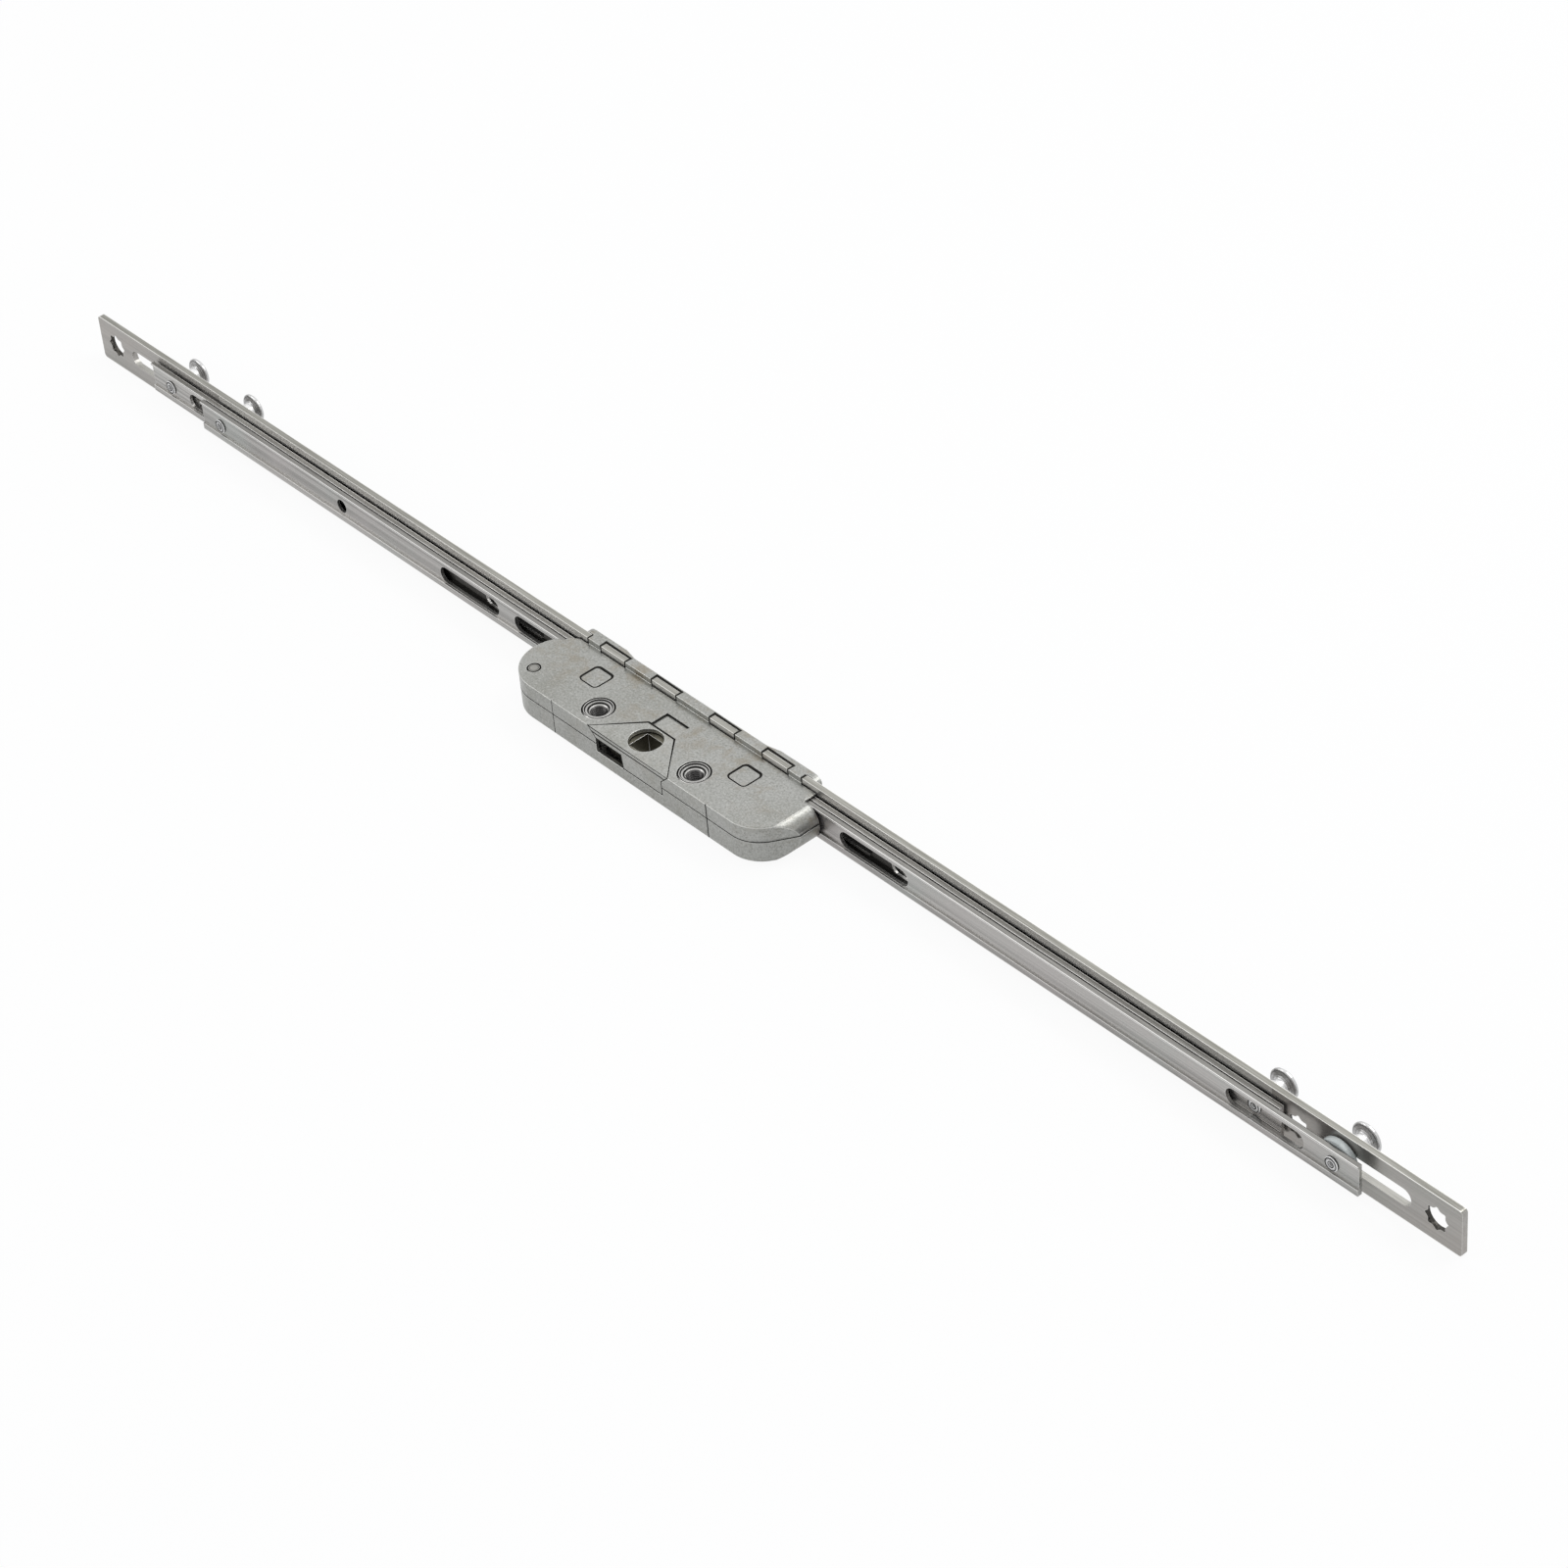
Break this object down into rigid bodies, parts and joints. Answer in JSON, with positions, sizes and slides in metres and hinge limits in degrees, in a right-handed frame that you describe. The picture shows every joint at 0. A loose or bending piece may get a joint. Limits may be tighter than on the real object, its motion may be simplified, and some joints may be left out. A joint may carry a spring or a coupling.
{
  "type": "window espagnolette gearbox",
  "caption": "Inline window espagnolette: a spindle-driven gearbox slides contra-moving rails with mushroom cams along a slotted faceplate.",
  "frame": {"origin": "middle of the faceplate's back face, level with the spindle, where the faceplate sits on the groove of the sash", "axes": "+X along the faceplate, +Y out of its front where the cams stand, +Z along the handle spindle's axis"},
  "size_m": [0.6, 0.0352, 0.016],
  "materials": {
    "faceplate_steel": "passivated zinc-plated steel strip, faint olive tint, satin",
    "rail_steel": "bright zinc-plated rolled steel with faint drawn lines",
    "cast_zinc": "die-cast zinc alloy, matt, slightly grainy",
    "bright_steel": "bright plated turned steel",
    "nylon": "translucent natural nylon"
  },
  "bodies": {
    "gearbox": {"faceplate": "faceplate_steel", "case_upper": "cast_zinc", "case_lower": "cast_zinc", "spindle_insert": "cast_zinc", "handle_bush_left": "bright_steel", "handle_bush_right": "bright_steel", "case_rivet_left": "bright_steel", "case_rivet_right": "bright_steel", "pinion_axle_left": "bright_steel", "pinion_axle_right": "bright_steel"},
    "spindle_follower": {"follower": "rail_steel"},
    "outer_bar": {"outer_rail": "rail_steel", "drive_rack": "rail_steel", "rack_rivet_left": "bright_steel", "rack_rivet_right": "bright_steel", "cam_outer_left": "bright_steel", "cam_outer_right": "bright_steel", "nylon_spacer": "nylon"},
    "inner_bar": {"inner_rail": "rail_steel", "cam_inner_left": "bright_steel", "cam_inner_right": "bright_steel"},
    "pinion_left": {"reversing_pinion_left": "rail_steel"},
    "pinion_right": {"reversing_pinion_right": "rail_steel"}
  },
  "joints": [
    {"name": "spindle_turn", "type": "hinge", "parent": "gearbox", "child": "spindle_follower", "pos_m": [0, -0.018, 0], "axis": [0, 0, -1], "range_deg": [0, 90]},
    {"name": "outer_slide", "type": "slide", "parent": "gearbox", "child": "outer_bar", "axis": [1, 0, 0], "range_m": [0, 0.01806]},
    {"name": "inner_slide", "type": "slide", "parent": "gearbox", "child": "inner_bar", "axis": [-1, 0, 0], "range_m": [0, 0.01806]},
    {"name": "pinion_left_turn", "type": "hinge", "parent": "gearbox", "child": "pinion_left", "pos_m": [-0.0332, 0, 0], "axis": [0, -1, 0], "range_deg": [0, 345]},
    {"name": "pinion_right_turn", "type": "hinge", "parent": "gearbox", "child": "pinion_right", "pos_m": [0.0332, 0, 0], "axis": [0, -1, 0], "range_deg": [0, 345]}
  ],
  "couplings": [
    {"joint": "spindle_turn", "follows": "outer_slide", "rad_per_m": 86.957},
    {"joint": "inner_slide", "follows": "outer_slide", "ratio": 1},
    {"joint": "pinion_left_turn", "follows": "outer_slide", "rad_per_m": 333.33},
    {"joint": "pinion_right_turn", "follows": "outer_slide", "rad_per_m": 333.33}
  ]
}
